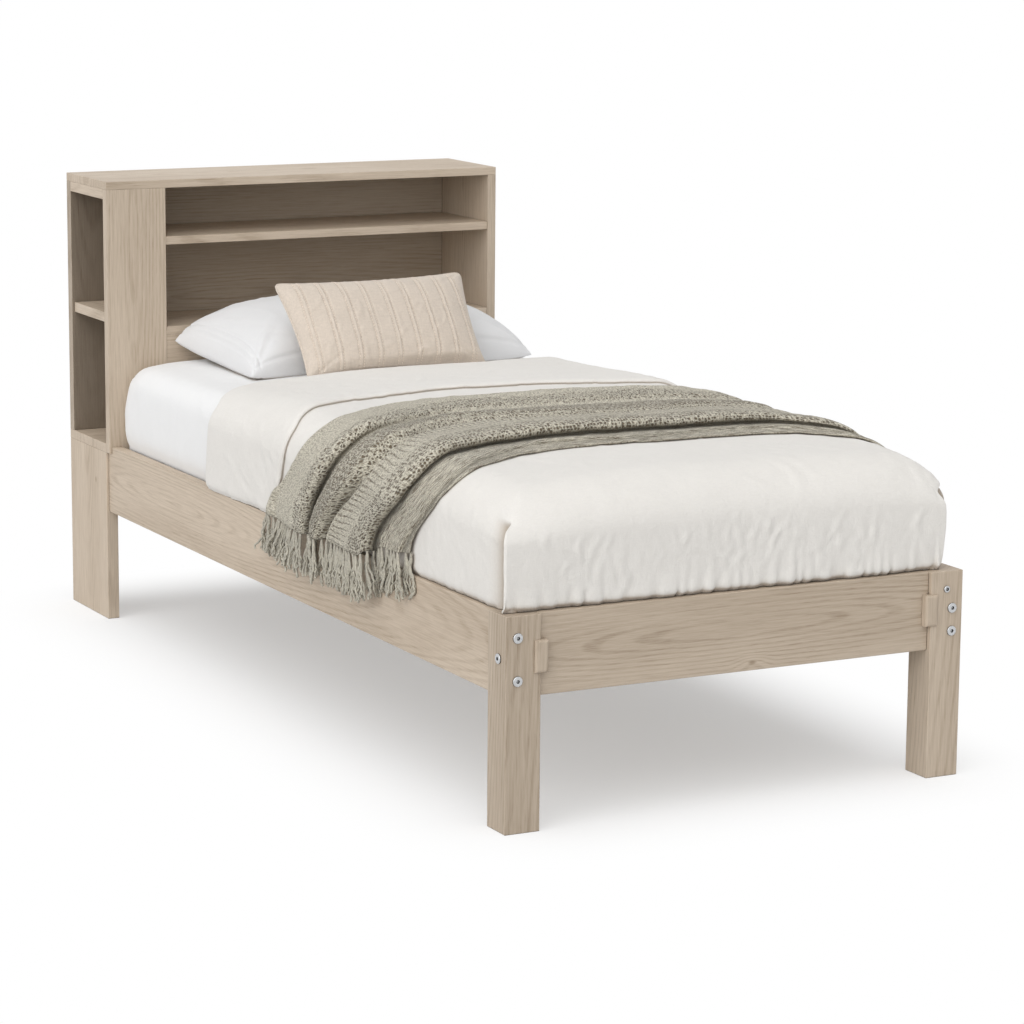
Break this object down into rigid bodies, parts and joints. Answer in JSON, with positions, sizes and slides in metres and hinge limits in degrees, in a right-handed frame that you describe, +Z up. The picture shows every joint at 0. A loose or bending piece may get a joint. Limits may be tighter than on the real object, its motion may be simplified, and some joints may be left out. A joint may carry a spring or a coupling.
{
  "type": "bookcase headboard bed",
  "caption": "Single bed on square foot legs with a slatted base, a shelved bookcase headboard open to the front and side, and its mattress, duvet, pillow, cushion and fringed throw.",
  "frame": {"origin": "on the floor, at the middle of the whole bed's width and length", "axes": "+X across the bed, to the right seen from its foot; +Y from the foot to the headboard; +Z up"},
  "size_m": [0.9788, 2.191, 0.99],
  "materials": {
    "frame_wood": "pale washed oak, satin lacquer",
    "case_wood": "pale washed oak, satin lacquer",
    "inner_wood": "planed softwood",
    "zinc_steel": "zinc plated",
    "sheet_cotton": "plain woven cotton",
    "pillow_cotton": "plain woven cotton",
    "duvet_cotton": "washed cotton",
    "cushion_cotton": "slub cotton with sewn channels",
    "throw_knit": "open knitted cotton"
  },
  "bodies": {
    "root": {"back_panel": "case_wood", "back_screws": "zinc_steel", "back_stile": "case_wood", "barrel_nuts": "zinc_steel", "case_floor": "case_wood", "case_top": "case_wood", "corner_screw": "zinc_steel", "dowels": "inner_wood", "duvet": "duvet_cotton", "end_panel": "case_wood", "foot_bolts": "zinc_steel", "foot_ledger": "inner_wood", "foot_leg_left": "frame_wood", "foot_leg_right": "frame_wood", "foot_rail": "frame_wood", "front_panel": "case_wood", "front_stile": "case_wood", "head_block_left": "inner_wood", "head_block_right": "inner_wood", "head_bolts": "zinc_steel", "head_leg_left": "frame_wood", "head_leg_right": "frame_wood", "head_nuts": "zinc_steel", "head_rail": "inner_wood", "joint_cap_left": "frame_wood", "joint_cap_right": "frame_wood", "lower_shelf": "case_wood", "lumbar_cushion": "cushion_cotton", "mattress": "sheet_cotton", "partition": "case_wood", "pillow": "pillow_cotton", "rear_rail": "inner_wood", "shelf_pins": "zinc_steel", "side_ledger_left": "inner_wood", "side_ledger_right": "inner_wood", "side_rail_left": "frame_wood", "side_rail_right": "frame_wood", "side_shelf": "case_wood", "slat_01": "inner_wood", "slat_02": "inner_wood", "slat_03": "inner_wood", "slat_04": "inner_wood", "slat_05": "inner_wood", "slat_06": "inner_wood", "slat_07": "inner_wood", "slat_08": "inner_wood", "slat_09": "inner_wood", "slat_10": "inner_wood", "slat_11": "inner_wood", "slat_12": "inner_wood", "slat_13": "inner_wood", "slat_14": "inner_wood", "throw": "throw_knit", "throw_fringe": "throw_knit", "top_apron": "case_wood", "upper_shelf": "case_wood", "wood_screws": "zinc_steel"}
  },
  "joints": []
}
